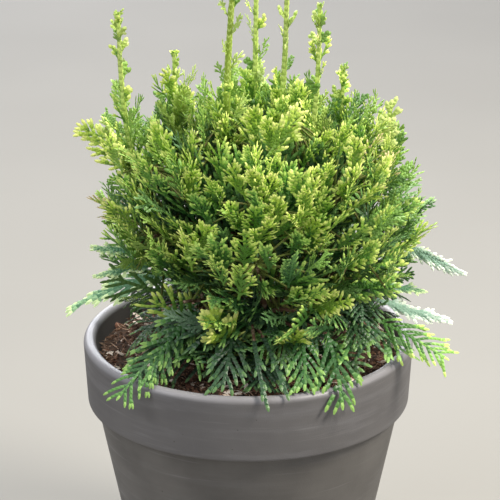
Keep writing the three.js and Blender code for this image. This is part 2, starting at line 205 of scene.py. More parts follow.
# Loose sprays that part from the crown and the skirt: kind, palette, bend, tip and foot in mm,
# and the way their flat side looks.
LOOSE_SPRAYS = [
    ("feather", "pale", -12.0, (-108, -10, 265), (-62, -10, 268), (0, -0.8, 0.6)),
    ("feather", "pale", -14.0, (-106, -20, 256), (-60, -20, 262), (0, -0.8, 0.6)),
    ("fan", "sunlit", -20.0, (-28, -92, 256), (-8, -56, 214), (-0.1, -1, 0.5)),
    ("hand", "fern", -30.0, (-64, -82, 216), (-34, -52, 240), (-0.3, -0.9, 0.5)),
    ("hand", "sea", -40.0, (-76, -88, 204), (-40, -58, 226), (-0.3, -0.7, 0.8)),
    ("hand", "sea", -50.0, (-14, -108, 206), (-10, -66, 232), (0, -0.8, 0.7)),
    ("strand", "sea", -30.0, (9, -121, 197), (4, -84, 232), (0, -0.8, 0.6)),
    ("strand", "sea", -26.0, (28, -114, 203), (10, -74, 230), (0, -0.8, 0.6)),
    ("strand", "mid", -30.0, (-72, -98, 202), (-50, -66, 226), (0, -0.8, 0.6)),
    ("hand", "fern", -44.0, (62, -105, 192), (52, -70, 232), (0.3, -0.9, 0.4)),
    ("hand", "mid", -44.0, (40, -106, 206), (34, -66, 232), (0.2, -0.8, 0.6)),
    # This feather's whitish palette is a painted reflection of the sky on it.
    ("feather", "glaucous", -12.0, (140, -10, 210), (88, -20, 236), (0, -0.8, 0.6)),
    ("feather", "pale", -8.0, (124, -2, 265), (88, -4, 254), (0, -0.9, 0.5)),
    ("feather", "pale", -8.0, (123, -10, 239), (84, -20, 246), (0, -0.6, 0.8)),
    ("fan", "sunlit", -10.0, (34, -94, 244), (24, -60, 214), (0.1, -1, 0.4)),
    ("spire", "rind", 6.0, (97, -8, 375), (91, -6, 334), (0.1, -1, 0.1)),
]

# How far below its tip each leader stays bare but for short shoots.
BARE_TOPS = {
    "trunk": 104.0, "leader_back": 90.0, "leader_right_inner": 106.0, "leader_right_middle": 98.0,
    "leader_right_outer": 34.0, "leader_left_outer": 62.0, "leader_left_back": 10.0,
}

# Scales are pressed on a leader's bare top and `scales_below` farther, and shoots stand on it
# and `shoots_below` farther. `close` is the top stretch where every shoot grows.
# A size or a gap in pairs of rows changes with the distance from the leader's tip, or, for
# fans, from the end of the bare top.
LEADER = dict(
    step=2.2, slimmed=0.68, scales_below=40.0, shoots_below=55.0, close=30.0, shoot_chance=0.45,
    fan_chance=0.6, scale_pitch=4.6, scale_sunk=0.62, scale_girth=1.35, scale_width=0.4,
    shoot_size=((0, 6, 24, 80), (0.4, 0.65, 1.05, 1.2)), fan_size=((0, 50), (0.7, 1.0)),
    spire_size=0.52, size=(0.8, 1.2), lean=(0.35, 0.8), bend=-12.0, cup=0.002,
    gap=((0, 12, 24, 50), (1.8, 2.4, 4.5, 8.0)), low_gap=4.5,
)
LEADER_COLOURS = dict(rind=0.4, sunlit=0.3, fresh=0.28, flushed=0.02)

# Sprays of the top tiers less than `aside` to the side of a leader and less than `ahead` in
# front of it keep `drop` lower, so that its stem shows.
PARTING = dict(tiers=("upper", "crest"), aside=8.0, ahead=70.0, drop=17.0)

# Limbs: sides, depth of the bark's relief as a share of the radius, and gap between rings. The
# ones inside the crown also have a radius at both ends, and their middle is lifted.
TRUNK = dict(sides=20, relief=0.16, gap=2.0)
BOUGH = dict(sides=12, relief=0.16, gap=2.0)
LEADER_STEM = dict(sides=12, relief=0.1, gap=2.5)
INNER_BOUGH = dict(sides=8, relief=0.12, gap=4.0, radii=(1.9, 1.1), lift=6.0)
TWIG = dict(sides=5, relief=0.05, gap=7.0, radii=(0.9, 0.7), lift=2.0, shortest=4.0)
# How far under the middle of its mass an inner bough ends.
HEART_DROP = 12.0

# Bark's strips and cracks: how often they come round a limb and along it, and their depth.
BARK_RELIEF = ((3.1, 0.055, 0.7), (7.0, 0.16, 0.45))
# How wide and long the strips of colour are, and how wide the flecks on them.
BARK_STRIP = (1.111, 1.111, 8.333)
BARK_FLECK = 3.846
# Brown bark turns green over this height on the trunk.
GREENING = 70.0

# ---------------------------------------------------------------- colours


def linear(code):
    """An sRGB hex colour as linear RGBA."""
    channels = [int(code[i : i + 2], 16) / 255 for i in (1, 3, 5)]
    return (*[c / 12.92 if c <= 0.04045 else ((c + 0.055) / 1.055) ** 2.4 for c in channels], 1.0)


# Each palette gives a spray's plain colours, one for each of the stages.
STAGES = ("old", "grown", "young", "under")
OLD, GROWN, YOUNG, UNDER = range(len(STAGES))
PALETTES = {
    "sunlit": ("#769a36", "#b6d152", "#eef68e", "#8cae56"),
    "flushed": ("#769a38", "#bcce5c", "#f2dcaa", "#90ac58"),
    "fresh": ("#5c8a34", "#9ec250", "#def07e", "#7aa04e"),
    "meadow": ("#44722e", "#7cac4a", "#c2e074", "#688e50"),
    "mid": ("#356130", "#548040", "#8ab45e", "#5a804e"),
    "shaded": ("#284626", "#3e5e34", "#688e4c", "#527250"),
    "sea": ("#28442c", "#365838", "#5a7e4a", "#6e8a70"),
    "fern": ("#366030", "#568440", "#8cb45c", "#7c9e6c"),
    "pale": ("#50805a", "#86ac7e", "#cbe0a4", "#bccdba"),
    # This whitish blue-green palette is a painted reflection of the sky on glossy sprays.
    "glaucous": ("#86a894", "#b6ccbc", "#e4eede", "#dfe8dc"),
    "rind": ("#a8c05c", "#c0d474", "#dcea96", "#abc266"),
}
PALETTE_NAMES = list(PALETTES)
# How often a spray of each tier has each palette.
SPRAY_COLOURS = {
    "crest": dict(sunlit=0.56, flushed=0.04, fresh=0.3, meadow=0.1),
    "upper": dict(sunlit=0.46, flushed=0.04, fresh=0.32, meadow=0.18),
    "middle": dict(sunlit=0.3, flushed=0.02, fresh=0.36, meadow=0.24, mid=0.08),
    "lower": dict(sunlit=0.02, fresh=0.21, meadow=0.38, mid=0.26, sea=0.08, shaded=0.05),
    "skirt": dict(meadow=0.03, mid=0.24, sea=0.45, shaded=0.24, fern=0.04),
    # Fillers inside the crown take mostly the shaded palette: painted shade in the crown's hollow.
    "inner": dict(mid=0.25, shaded=0.75),
}

# ---------------------------------------------------------------- node and mesh helpers


def add(tree, kind, inputs=None, **settings):
    """Adds a node, sets its settings, and sets or links its inputs."""
    node = tree.nodes.new(kind)
    for name, value in settings.items():
        setattr(node, name, value)
    for key, value in (inputs or {}).items():
        if isinstance(value, bpy.types.NodeSocket):
            tree.links.new(value, node.inputs[key])
        else:
            node.inputs[key].default_value = value
    return node


def new_material(name, **values):
    """A material with its Principled shader. Uniform values go on the shader's own sockets."""
    material = bpy.data.materials.new(name)
    material.use_nodes = True
    shader = material.node_tree.nodes["Principled BSDF"]
    for key, value in values.items():
        shader.inputs[key.replace("_", " ")].default_value = value
    return material, material.node_tree, shader


def per_mm(size):
    """The scale of a pattern whose grain is `size` millimetres."""
    return 1 / (size * MM)


def coated(tree, ground, *coats):
    """The colour of a ground under coats, each given as its mask and its colour."""
    shown = linear(ground)
    for mask, code in coats:
        shown = add(
            tree, "ShaderNodeMix", {"Factor": mask, "A": shown, "B": linear(code)}, data_type="RGBA"
        ).outputs["Result"]
    return shown


def dress(tree, shader, colour, relief, strength, depth):
    """Gives a shader its colour and a relief that is `depth` millimetres deep."""
    bump = add(tree, "ShaderNodeBump", {"Height": relief, "Strength": strength, "Distance": depth * MM})
    tree.links.new(colour, shader.inputs["Base Color"])
    tree.links.new(bump.outputs["Normal"], shader.inputs["Normal"])


def new_geometry_tree(name, *inputs):
    """A Geometry Nodes tree that takes geometry and the given inputs: label, kind and value."""
    tree = bpy.data.node_groups.new(name, "GeometryNodeTree")
    for label, kind, value in (("Geometry", "Geometry", None), *inputs):
        socket = tree.interface.new_socket(label, in_out="INPUT", socket_type="NodeSocket" + kind)
        if value is not None:
            socket.default_value = value
    tree.interface.new_socket("Geometry", in_out="OUTPUT", socket_type="NodeSocketGeometry")
    return tree, add(tree, "NodeGroupInput").outputs


def set_inputs(modifier, values):
    """Sets a Geometry Nodes modifier's inputs by their sockets' identifiers."""
    for item in modifier.node_group.interface.items_tree:
        if item.in_out == "INPUT" and item.name in values:
            modifier[item.identifier] = values[item.name]


def mesh_object(name, points, faces, material=None):
    """An object at the origin whose mesh is given in millimetres."""
    mesh = bpy.data.meshes.new(name)
    mesh.from_pydata((np.asarray(points, float) * MM).tolist(), [], faces)
    if material:
        mesh.materials.append(material)
    mesh.update()
    made = bpy.data.objects.new(name, mesh)
    bpy.context.scene.collection.objects.link(made)
    return made


def ring_faces(rings, sides, start=0):
    """Four-sided faces between rings of points, the first ring at point `start`."""
    faces = []
    for i in range(rings - 1):
        near, far = start + i * sides, start + (i + 1) * sides
        for j in range(sides):
            k = (j + 1) % sides
            faces.append((near + j, near + k, far + k, far + j))
    return faces


def circle(radius, sides):
    """Points of a level circle about the origin."""
    turns = (math.tau * i / sides for i in range(sides))
    return [(radius * math.cos(turn), radius * math.sin(turn)) for turn in turns]


def smooth(piece):
    """Shades a piece smooth."""
    piece.data.polygons.foreach_set("use_smooth", [True] * len(piece.data.polygons))
    return piece


def applied(piece, name):
    """The piece as its modifiers leave it, as a plain mesh object; the old one is removed."""
    graph = bpy.context.evaluated_depsgraph_get()
    mesh = bpy.data.meshes.new_from_object(piece.evaluated_get(graph), depsgraph=graph)
    mesh.name = name
    made = bpy.data.objects.new(name, mesh)
    bpy.context.scene.collection.objects.link(made)
    bpy.data.objects.remove(piece)
    return made


def node_points(node):
    """The vertices of a CAD node, in millimetres."""
    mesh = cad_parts[node].data
    points = np.zeros(len(mesh.vertices) * 3)
    mesh.vertices.foreach_get("co", points)
    return points.reshape(-1, 3) / MM


def node_triangles(node):
    """The triangles of a CAD node as an array of three corners each, in millimetres."""
    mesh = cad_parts[node].data
    mesh.calc_loop_triangles()
    corners = np.array([list(t.vertices) for t in mesh.loop_triangles])
    return node_points(node)[corners]


def unit(vectors):
    """Vectors of length one."""
    vectors = np.asarray(vectors, float)
    return vectors / np.maximum(np.linalg.norm(vectors, axis=-1, keepdims=True), 1e-9)


def settle(piece, slot, *nodes):
    """Puts a finished piece under its body and hides the CAD nodes that it stands for; the slot is not used.
    """
    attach(piece, BODY)
    if nodes:
        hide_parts(*nodes)


def nodes_named(*starts):
    """The CAD nodes whose names start with one of the given words, in order."""
    return sorted(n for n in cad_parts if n.startswith(starts))


# ---------------------------------------------------------------- camera, light and floor


def make_camera():
    """A long lens in front of the pot, looking a little down."""
    pitch = math.radians(CAMERA["pitch"])
    forward = Vector((0, math.cos(pitch), -math.sin(pitch)))
    data = bpy.data.cameras.new("camera")
    data.lens = CAMERA["lens"]
    data.sensor_width = CAMERA["sensor"]
    camera = bpy.data.objects.new("camera", data)
    camera.location = Vector(CAMERA["aim"]) * MM - forward * CAMERA["distance"] * MM
    camera.rotation_euler = forward.to_track_quat("-Z", "Y").to_euler()
    bpy.context.scene.collection.objects.link(camera)
    bpy.context.scene.camera = camera


def make_lamp(name, place, size, power, colour):
    """A round soft lamp that looks at the plant."""
    data = bpy.data.lights.new(name, "AREA")
    data.shape = "DISK"
    data.size = size
    data.energy = power
    data.color = linear(colour)[:3]
    lamp = bpy.data.objects.new(name, data)
    lamp.location = place
    lamp.visible_camera = False
    lamp.rotation_euler = (Vector(LAMP_AIM) - Vector(place)).to_track_quat("-Z", "Y").to_euler()
    bpy.context.scene.collection.objects.link(lamp)


def make_studio():
    """A floor with matt paint, an even pale sky and the lamps."""
    material, tree, shader = new_material("matt_floor_paint", Roughness=0.9)
    place = add(tree, "ShaderNodeTexCoord").outputs["Object"]
    grain = add(tree, "ShaderNodeTexNoise", {"Vector": place, "Scale": per_mm(FLOOR["grain"])})
    tint = coated(tree, "#807e7a", (grain.outputs["Fac"], "#888682"))
    tree.links.new(tint, shader.inputs["Base Color"])
    reach, level = FLOOR["reach"], FLOOR["level"]
    corners = [(x * reach, y * reach, level) for x, y in ((-1, -1), (1, -1), (1, 1), (-1, 1))]
    mesh_object("floor", corners, [(0, 1, 2, 3)], material)

    world = bpy.data.worlds.new("studio")
    world.use_nodes = True
    background = world.node_tree.nodes["Background"]
    background.inputs["Color"].default_value = linear(SKY["colour"])
    background.inputs["Strength"].default_value = SKY["strength"]
    bpy.context.scene.world = world
    bpy.context.scene.view_settings.view_transform = "Standard"
    for name, lamp in LAMPS.items():
        make_lamp(name, *lamp)


# ---------------------------------------------------------------- pot


def clay_material():
    """Unglazed clay, thrown and wiped with a wet sponge, weathered grey: matt, with soft level
    wipe marks, hair-thin scratches, a few pits, and a lighter top of the lip that is partly a pale
    deposit of lime and partly a painted sheen of the sky on it. The scratches and the grit are drawn
    a few times coarser than life, or they would not show."""
    material, tree, shader = new_material("weathered_unglazed_clay", IOR=1.5)
    place = add(tree, "ShaderNodeTexCoord").outputs["Object"]
    height = add(tree, "ShaderNodeSeparateXYZ", {"Vector": place}).outputs["Z"]
    # Each mark's grain round the pot and up it, in mm, its detail and its roughness.
    marks = {}
    for mark, (long, tall), detail, rough in (
        ("wipes", (111.1, 12.5), 6.0, 0.62), ("hairs", (62.5, 2.174), 3.0, 0.5),
        ("clouds", (45.45, 45.45), 5.0, 0.5), ("grit", (0.714, 0.714), 2.0, 0.5),
    ):
        grain = (per_mm(long), per_mm(long), per_mm(tall))
        stretched = add(tree, "ShaderNodeMapping", {"Vector": place, "Scale": grain})
        marks[mark] = add(
            tree, "ShaderNodeTexNoise",
            {"Vector": stretched.outputs["Vector"], "Scale": 1.0, "Detail": detail, "Roughness": rough},
        ).outputs["Fac"]
    pits = add(tree, "ShaderNodeTexVoronoi", {"Vector": place, "Scale": per_mm(7.692)}).outputs["Distance"]

    lip_level = RIM_LEVEL * MM
    band_foot = lip_level - POT["band_height"] * MM
    # Each mask rises or falls between two values as its source goes from low to high.
    masks = {}
    for mask, source, (low, high), (least, most) in (
        ("blotch", marks["clouds"], (0.36, 0.64), (0.0, 1.0)),
        ("band", height, (band_foot - MM, band_foot + MM), (0.14, 0.42)),
        ("scratch", marks["hairs"], (0.64, 0.76), (0.0, 0.28)),
        ("hole", pits, (0.02, 0.1), (1.0, 0.0)),
        ("sparse", marks["clouds"], (0.58, 0.64), (0.0, 1.0)),
        ("lip", height, (lip_level - POT["bloom_and_sheen"] * MM, lip_level - 0.4 * MM), (0.0, 0.5)),
        ("dull", marks["wipes"], (0.3, 0.8), (0.8, 0.55)),
    ):
        masks[mask] = add(
            tree, "ShaderNodeMapRange",
            {"Value": source, "From Min": low, "From Max": high, "To Min": least, "To Max": most},
        ).outputs["Result"]
    streak = add(
        tree, "ShaderNodeMapRange",
        {"Value": marks["wipes"], "From Min": 0.5, "From Max": 0.76, "To Max": masks["band"]},
    ).outputs["Result"]
    pit = add(
        tree, "ShaderNodeMath", {0: masks["hole"], 1: masks["sparse"]}, operation="MULTIPLY"
    ).outputs["Value"]
    # The lip mask lightens the top of the lip with a lilac white: partly a deposit of lime, partly a painted
    # sheen where the sky reflects on it.
    colour = coated(
        tree, "#55524e", (masks["blotch"], "#64615d"), (masks["band"], "#66656b"), (streak, "#86858a"),
        (masks["scratch"], "#8f8d90"), (pit, "#423f3b"), (masks["lip"], "#aaa8ae"),
    )
    worn = add(tree, "ShaderNodeMath", {0: masks["lip"], 1: 0.84}, operation="MULTIPLY").outputs["Value"]
    roughness = add(tree, "ShaderNodeMath", {0: masks["dull"], 1: worn}, operation="SUBTRACT")
    tree.links.new(roughness.outputs["Value"], shader.inputs["Roughness"])
    relief = add(
        tree, "ShaderNodeMath", {0: marks["wipes"], 1: marks["grit"]}, operation="MULTIPLY"
    ).outputs["Value"]
    sunk = add(tree, "ShaderNodeMath", {0: relief, 1: pit}, operation="SUBTRACT").outputs["Value"]
    dress(tree, shader, colour, sunk, 0.5, 0.4)
    return material


def arc(centre, radius, start, end, steps):
    """Points of an arc in the (radius, height) plane, angles in degrees."""
    angles = np.radians(np.linspace(start, end, steps))
    return [(centre[0] + radius * math.cos(a), centre[1] + radius * math.sin(a)) for a in angles]


def straight(start, end, steps):
    """Points after `start` up to and including `end`."""
    return [tuple(np.add(start, np.subtract(end, start) * i / steps)) for i in range(1, steps + 1)]


def pot_profile():
    """The pot's outline from the axis underneath, up the outside and down the inside to the
    axis again. The last number of each stretch is how many steps it has."""
    p = POT
    inner = RIM_RADIUS - p["lip_thickness"]
    half = p["lip_thickness"] / 2
    lip_middle = RIM_LEVEL - half
    band_foot = RIM_LEVEL - p["band_height"]
    band_edge, fillet, corner = p["band_edge"], p["fillet"], p["floor_corner"]
    foot = (p["foot_radius"] - p["foot_edge"], 0.0)
    points = [(0.0, 0.0)] + straight((0.0, 0.0), foot, 14)
    points += arc((foot[0], p["foot_edge"]), p["foot_edge"], -80, 0, 6)
    points += straight(points[-1], (p["shoulder_radius"], band_foot - fillet), 46)
    points += [(p["shoulder_radius"] + fillet * 0.3, band_foot - fillet * 0.3)]
    points += arc((p["band_foot_radius"] - band_edge, band_foot + band_edge), band_edge, -90, 0, 7)
    points += straight(points[-1], (RIM_RADIUS, lip_middle), 18)
    points += arc((RIM_RADIUS - half, lip_middle), half, 10, 180, 16)
    points += straight((inner, lip_middle), (p["floor_radius"] + corner, p["floor"] + corner), 20)
    points += arc((p["floor_radius"], p["floor"] + corner), corner, -10, -90, 4)
    points += straight(points[-1], (0.0, p["floor"]), 8)
    return points


def lathe(name, profile, segments, material):
    """A closed solid of revolution whose profile starts and ends on the axis."""
    ring = profile[1:-1]
    points = [(0.0, 0.0, profile[0][1])]
    for radius, level in ring:
        points += [(x, y, level) for x, y in circle(radius, segments)]
    points.append((0.0, 0.0, profile[-1][1]))
    last, end = len(points) - 1, 1 + (len(ring) - 1) * segments
    around = [(j, (j + 1) % segments) for j in range(segments)]
    faces = [(0, 1 + k, 1 + j) for j, k in around]
    faces += ring_faces(len(ring), segments, 1)
    faces += [(end + j, end + k, last) for j, k in around]
    return mesh_object(name, points, faces, material)


def make_pot():
    """The thrown pot with its drain holes drilled through the floor."""
    pot = lathe("pot_solid", pot_profile(), POT["segments"], clay_material())
    sides, past = POT["drain_sides"], 8.0
    drills = []
    for i in range(POT["drain_count"]):
        turn = math.radians(90 + 360 * i / POT["drain_count"])
        x, y = POT["drain_ring"] * math.cos(turn), POT["drain_ring"] * math.sin(turn)
        ring = [(x + a, y + b) for a, b in circle(POT["drain_radius"], sides)]
        points = [(*spot, level) for level in (-past, POT["floor"] + past) for spot in ring]
        caps = [tuple(range(sides - 1, -1, -1)), tuple(range(sides, 2 * sides))]
        drill = mesh_object(f"drill_{i}", points, ring_faces(2, sides) + caps)
        drill.hide_render = True
        pot.modifiers.new(f"drain_{i}", "BOOLEAN").object = drill
        drills.append(drill)
    pot = smooth(applied(pot, "clay_pot"))
    for drill in drills:
        bpy.data.objects.remove(drill)
    pot.data.set_sharp_from_angle(angle=math.radians(40))
    settle(pot, "pot_clay", "pot")


# ---------------------------------------------------------------- compost


def grainy_material(name, dark, light, grain, roughness, depth):
    """A rough natural material in two shades, mottled at `grain` millimetres."""
    material, tree, shader = new_material(name, Roughness=roughness, IOR=1.4)
    place = add(tree, "ShaderNodeTexCoord").outputs["Object"]
    mottle = add(
        tree, "ShaderNodeTexNoise",
        {"Vector": place, "Scale": per_mm(grain), "Detail": 5.0, "Roughness": 0.65},
    ).outputs["Fac"]
    contrast = add(tree, "ShaderNodeMapRange", {"Value": mottle, "From Min": 0.35, "From Max": 0.65})
    dress(tree, shader, coated(tree, dark, (contrast.outputs["Result"], light)), mottle, 0.8, depth)
    return material


def make_compost():
    """The uneven top of the compost, in rings from the wall to the middle, closed underneath.
    Peat is dark when moist and crumbles into fibres and grains, so it is quite matt."""
    edge_reach, _, crown_level = np.array(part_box("compost")[1]) / MM
    corners = node_points("compost")
    edge_level = corners[np.hypot(corners[:, 0], corners[:, 1]) > edge_reach - 1.0][:, 2].max()
    segments, rings = COMPOST["segments"], COMPOST["rings"]
    points = []
    for i in range(rings + 1):
        share = 1 - i / rings
        level = crown_level + (edge_level - crown_level) * share - COMPOST["settled"]
        for x, y in circle(edge_reach * share, segments):
            lumps = noise.fractal(Vector((x, y, 0)) / COMPOST["grain"], 1.0, 2.1, 5)
            points.append((x, y, level + lumps * COMPOST["roughness"]))
    faces = ring_faces(rings + 1, segments)
    skin, foot = len(points), edge_level - COMPOST["depth"]
    points += [(x, y, foot) for x, y, _ in points[:segments]] + [(0.0, 0.0, foot)]
    around = [(j, (j + 1) % segments) for j in range(segments)]
    faces += [(skin + j, skin + k, k, j) for j, k in around]
    faces += [(skin + segments, skin + k, skin + j) for j, k in around]
    peat = grainy_material("moist_peat_compost", "#1c140f", "#5c4638", 5.0, 0.95, 1.2)
    return smooth(mesh_object("compost_bed", points, faces, peat))


def lump(name, seed, flat=1.0, long=1.0, wide=1.0):
    """A small uneven stone-like shape with the twenty faces of an icosahedron, a millimetre
    across. `long`, `wide` and `flat` stretch it along x, y and z."""
    rng = np.random.default_rng(seed)
    g = (1 + 5**0.5) / 2
    corners = unit([
        (-1, g, 0), (1, g, 0), (-1, -g, 0), (1, -g, 0), (0, -1, g), (0, 1, g),
        (0, -1, -g), (0, 1, -g), (g, 0, -1), (g, 0, 1), (-g, 0, -1), (-g, 0, 1),
    ])
    faces = [
        (0, 11, 5), (0, 5, 1), (0, 1, 7), (0, 7, 10), (0, 10, 11), (1, 5, 9), (5, 11, 4), (11, 10, 2),
        (10, 7, 6), (7, 1, 8), (3, 9, 4), (3, 4, 2), (3, 2, 6), (3, 6, 8), (3, 8, 9), (4, 9, 5),
        (2, 4, 11), (6, 2, 10), (8, 6, 7), (9, 8, 1),
    ]
    uneven = corners * rng.uniform(0.72, 1.15, (len(corners), 1)) * 0.5 * np.array([long, wide, flat])
    shape = mesh_object(name, uneven, faces)
    shape.hide_render = True
    return shape


def scatter_tree(name, material):
    """Geometry Nodes: copies of a template sown on the faces of a surface that look up."""
    tree, given = new_geometry_tree(
        name, ("Template", "Object", None), ("Density", "Float", 1000.0), ("Smallest", "Float", 1.0),
        ("Largest", "Float", 2.0), ("Tumble", "Float", 0.5), ("Seed", "Int", 1),
    )
    normal = add(tree, "GeometryNodeInputNormal").outputs["Normal"]
    facing = add(tree, "ShaderNodeSeparateXYZ", {"Vector": normal}).outputs["Z"]
    upward = add(tree, "FunctionNodeCompare", {"A": facing, "B": 0.2}, operation="GREATER_THAN")
    sown = add(
        tree, "GeometryNodeDistributePointsOnFaces",
        {
            "Mesh": given["Geometry"], "Selection": upward.outputs["Result"],
            "Density": given["Density"], "Seed": given["Seed"],
        },
    )
    size = add(
        tree, "FunctionNodeRandomValue",
        {"Min": given["Smallest"], "Max": given["Largest"], "Seed": given["Seed"]},
    ).outputs[1]
    lean = given["Tumble"]
    back = add(tree, "ShaderNodeMath", {0: lean, 1: -1.0}, operation="MULTIPLY").outputs["Value"]
    low = add(tree, "ShaderNodeCombineXYZ", {"X": back, "Y": back, "Z": 0.0})
    high = add(tree, "ShaderNodeCombineXYZ", {"X": lean, "Y": lean, "Z": math.tau})
    turn = add(
        tree, "FunctionNodeRandomValue",
        {"Min": low.outputs["Vector"], "Max": high.outputs["Vector"], "Seed": given["Seed"]},
        data_type="FLOAT_VECTOR",
    ).outputs[0]
    template = add(tree, "GeometryNodeObjectInfo", {"Object": given["Template"], "As Instance": True})
    copies = add(
        tree, "GeometryNodeInstanceOnPoints",
        {
            "Points": sown.outputs["Points"], "Instance": template.outputs["Geometry"],
            "Rotation": turn, "Scale": size,
        },
    )
    real = add(tree, "GeometryNodeRealizeInstances", {"Geometry": copies.outputs["Instances"]})
    dressed = add(
        tree, "GeometryNodeSetMaterial", {"Geometry": real.outputs["Geometry"], "Material": material}
    )
    add(tree, "NodeGroupOutput", {"Geometry": dressed.outputs["Geometry"]})
    return tree


def sow(name, surface, template, material, density, smallest, largest, tumble, seed):
    """One joined piece of many copies of a template, `density` to the square metre."""
    carrier = bpy.data.objects.new(name + "_carrier", surface.data)
    bpy.context.scene.collection.objects.link(carrier)
    modifier = carrier.modifiers.new("sow", "NODES")
    modifier.node_group = scatter_tree(name + "_tree", material)
    set_inputs(modifier, {
        "Template": template, "Density": density, "Smallest": smallest, "Largest": largest,
        "Tumble": tumble, "Seed": seed,
    })
    piece = applied(carrier, name)
    bpy.data.objects.remove(template)
    settle(piece, "compost")


def make_soil_bits(surface):
    """What lies in the compost: dark crumbs and clods, pale split wood, red-brown bark, thin
    coir fibres and white grains of perlite. All are dry on top and quite matt."""
    crumb = grainy_material("peat_crumb", "#21170f", "#94705a", 3.6, 0.95, 0.4)
    chip = grainy_material("split_wood_chip", "#d8bca8", "#fff6ec", 3.0, 0.85, 0.3)
    bark = grainy_material("composted_bark_piece", "#442a20", "#8e6452", 3.0, 0.85, 0.4)
    fibre = grainy_material("coir_fibre", "#6e4c3a", "#dcbca2", 4.0, 0.9, 0.2)
    perlite = grainy_material("expanded_perlite", "#b9b4aa", "#eceae4", 1.0, 0.9, 0.2)
    for name, template, material, density, sizes, tumble, seed in (
        ("crumbs", lump("crumb", 1), crumb, 90000.0, (0.9, 3.2), 3.0, 4),
        ("lumps", lump("clod", 2), crumb, 11000.0, (3.0, 5.6), 3.0, 5),
        ("wood_chips", lump("chip", 3, 0.26, 1.9, 0.8), chip, 6500.0, (2.2, 7.4), 0.8, 16),
        ("bark_pieces", lump("piece", 9, 0.36, 1.5), bark, 7000.0, (2.6, 6.4), 0.8, 9),
        ("fibres", lump("fibre", 4, 0.25, 6.0, 0.35), fibre, 30000.0, (1.2, 2.8), 0.6, 7),
        ("perlite", lump("grain", 5), perlite, 2200.0, (1.0, 2.4), 3.0, 8),
    ):
        sow("compost_" + name, surface, template, material, density, *sizes, tumble, seed)


# ---------------------------------------------------------------- limbs


def centre_line(node, steps):
    """Points along the middle of a limb's CAD solid and its radius there. The limb is cut by
    planes across its longest side; each cut's corners give a middle and a radius."""
    triangles = node_triangles(node)
    corners = triangles.reshape(-1, 3)
    along = int(np.argmax(np.ptp(corners, axis=0)))
    low, high = corners[:, along].min(), corners[:, along].max()
    edges = np.concatenate([triangles[:, [i, (i + 1) % 3]] for i in range(3)])
    middles, radii = [], []
    inset = 0.6
    for level in np.linspace(low + inset, high - inset, steps):
        heights = edges[:, :, along] - level
        crossing = edges[(heights[:, 0] * heights[:, 1]) < 0]
        depth = (level - crossing[:, 0, along]) / (crossing[:, 1, along] - crossing[:, 0, along])
        cuts = crossing[:, 0] + (crossing[:, 1] - crossing[:, 0]) * depth[:, None]
        middle = (cuts.max(0) + cuts.min(0)) / 2
        middles.append(middle)
        radii.append(np.median(np.linalg.norm(cuts - middle, axis=1)))
    return np.array(middles), np.array(radii)


def travelled(points):
    """How far along a line each of its points lies."""
    return np.concatenate([[0], np.cumsum(np.linalg.norm(np.diff(points, axis=0), axis=1))])


def resampled(points, values, gap):
    """The same line with evenly spaced points, and its values there."""
    lengths = travelled(points)
    marks = np.linspace(0, lengths[-1], max(3, int(lengths[-1] / gap) + 1))
    line = np.stack([np.interp(marks, lengths, points[:, i]) for i in range(3)], 1)
    return line, np.interp(marks, lengths, values)


def frames_along(points):
    """Tangent, side and up vectors carried along a line without twisting."""
    tangents = unit(np.gradient(points, axis=0))
    side = np.cross(tangents[0], (0.31, 0.95, 0.05))
    sides = []
    for tangent in tangents:
        side = unit(side - tangent * np.dot(side, tangent))
        sides.append(side)
    sides = np.array(sides)
    return tangents, sides, np.cross(tangents, sides)


def bark_tube(points, radii, rule, seed):
    """Vertices and faces of a limb with long raised strips of bark and shorter cracks in them,
    closed at both ends."""
    _, across, over = frames_along(points)
    sides = rule["sides"]
    verts = []
    for i, (middle, mark) in enumerate(zip(points, travelled(points))):
        for x, y in circle(1.0, sides):
            raised = sum(
                depth * noise.noise(Vector((x * round_it, y * round_it, mark * along + seed)))
                for round_it, along, depth in BARK_RELIEF
            )
            radius = radii[i] * (1 + rule["relief"] * raised)
            verts.append(middle + (x * across[i] + y * over[i]) * radius)
    last = (len(points) - 1) * sides
    ends = [tuple(range(sides - 1, -1, -1)), tuple(range(last, last + sides))]
    return verts, ring_faces(len(points), sides) + ends


def bark_material(name, dark, light, fleck, green_from=None):
    """Thin bark that splits in long strips: matt, streaked along the limb. Above `green_from`
    it turns into the smooth green rind of young growth."""
    material, tree, shader = new_material(name, Roughness=0.82, IOR=1.45)
    place = add(tree, "ShaderNodeTexCoord").outputs["Object"]
    grain = [per_mm(size) for size in BARK_STRIP]
    stretched = add(tree, "ShaderNodeMapping", {"Vector": place, "Scale": grain})
    strips = add(
        tree, "ShaderNodeTexNoise", {"Vector": stretched.outputs["Vector"], "Scale": 1.0, "Detail": 4.0}
    ).outputs["Fac"]
    flecks = add(tree, "ShaderNodeTexNoise", {"Vector": place, "Scale": per_mm(BARK_FLECK), "Detail": 3.0})
    patch = add(
        tree, "ShaderNodeMapRange", {"Value": flecks.outputs["Fac"], "From Min": 0.52, "From Max": 0.66}
    )
    coats = [(strips, light), (patch.outputs["Result"], fleck)]
    if green_from:
        height = add(tree, "ShaderNodeSeparateXYZ", {"Vector": place}).outputs["Z"]
        youth = add(
            tree, "ShaderNodeMapRange",
            {"Value": height, "From Min": green_from * MM, "From Max": (green_from + GREENING) * MM},
        )
        coats.append((youth.outputs["Result"], "#8ea63c"))
    dress(tree, shader, coated(tree, dark, *coats), strips, 0.7, 0.4)
    return material


def joined_limbs(name, limbs, rule, material):
    """One piece of many limbs, each given as (points, radii)."""
    verts, faces = [], []
    for number, (points, radii) in enumerate(limbs):
        line, girth = resampled(points, radii, rule["gap"])
        limb_verts, limb_faces = bark_tube(line, girth, rule, number * 7.3)
        start = len(verts)
        verts += limb_verts
        faces += [tuple(start + v for v in face) for face in limb_faces]
    return smooth(mesh_object(name, verts, faces, material))


